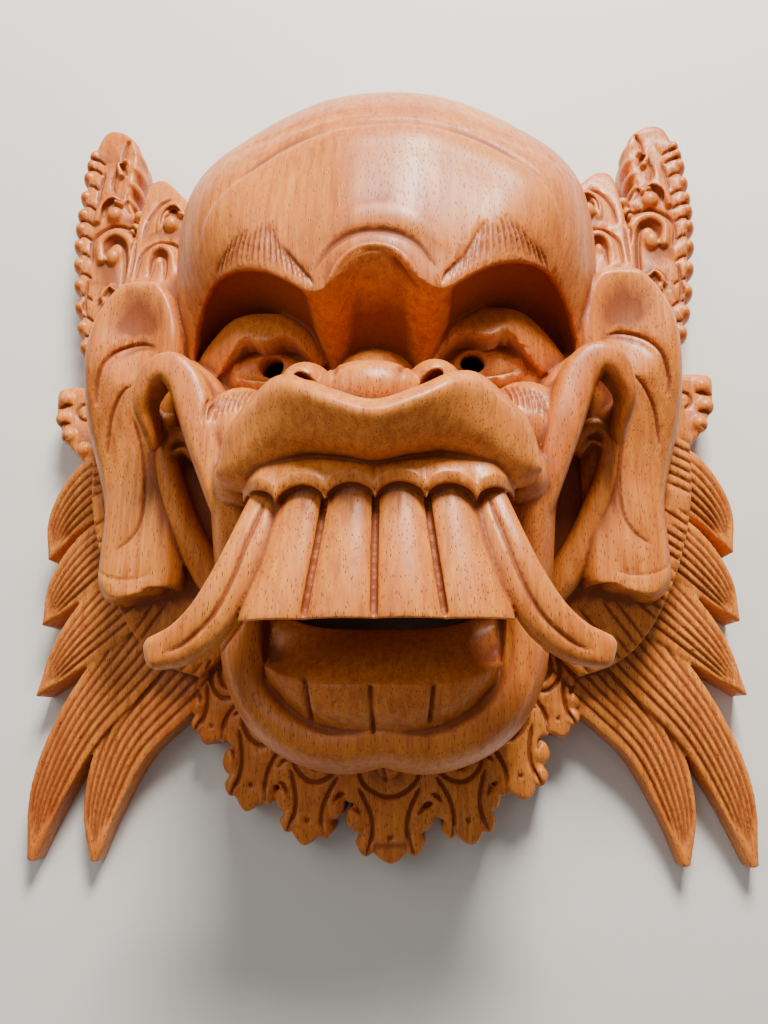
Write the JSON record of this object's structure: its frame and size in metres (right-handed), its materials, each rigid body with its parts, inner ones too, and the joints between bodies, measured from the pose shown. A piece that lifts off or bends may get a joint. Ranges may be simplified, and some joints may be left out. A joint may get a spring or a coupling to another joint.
{
  "type": "barong mask",
  "caption": "Carved wooden demon-face mask with big upper teeth, curling tusks, long ears, scrolled crests and feathered sides; hollowed flat back, drilled pupils and an open mouth.",
  "frame": {"origin": "under the middle of the mask's overall box, on the flat plane of its back", "axes": "+Z out of the face, +Y from the chin towards the top of the skull, +X to the right of someone looking at the face"},
  "size_m": [0.253, 0.29, 0.107],
  "materials": {
    "oiled_wood": "hand-carved, oiled to a satin sheen, with a red-brown stain in the recesses"
  },
  "bodies": {
    "root": {"barong_mask": "oiled_wood"}
  },
  "joints": []
}
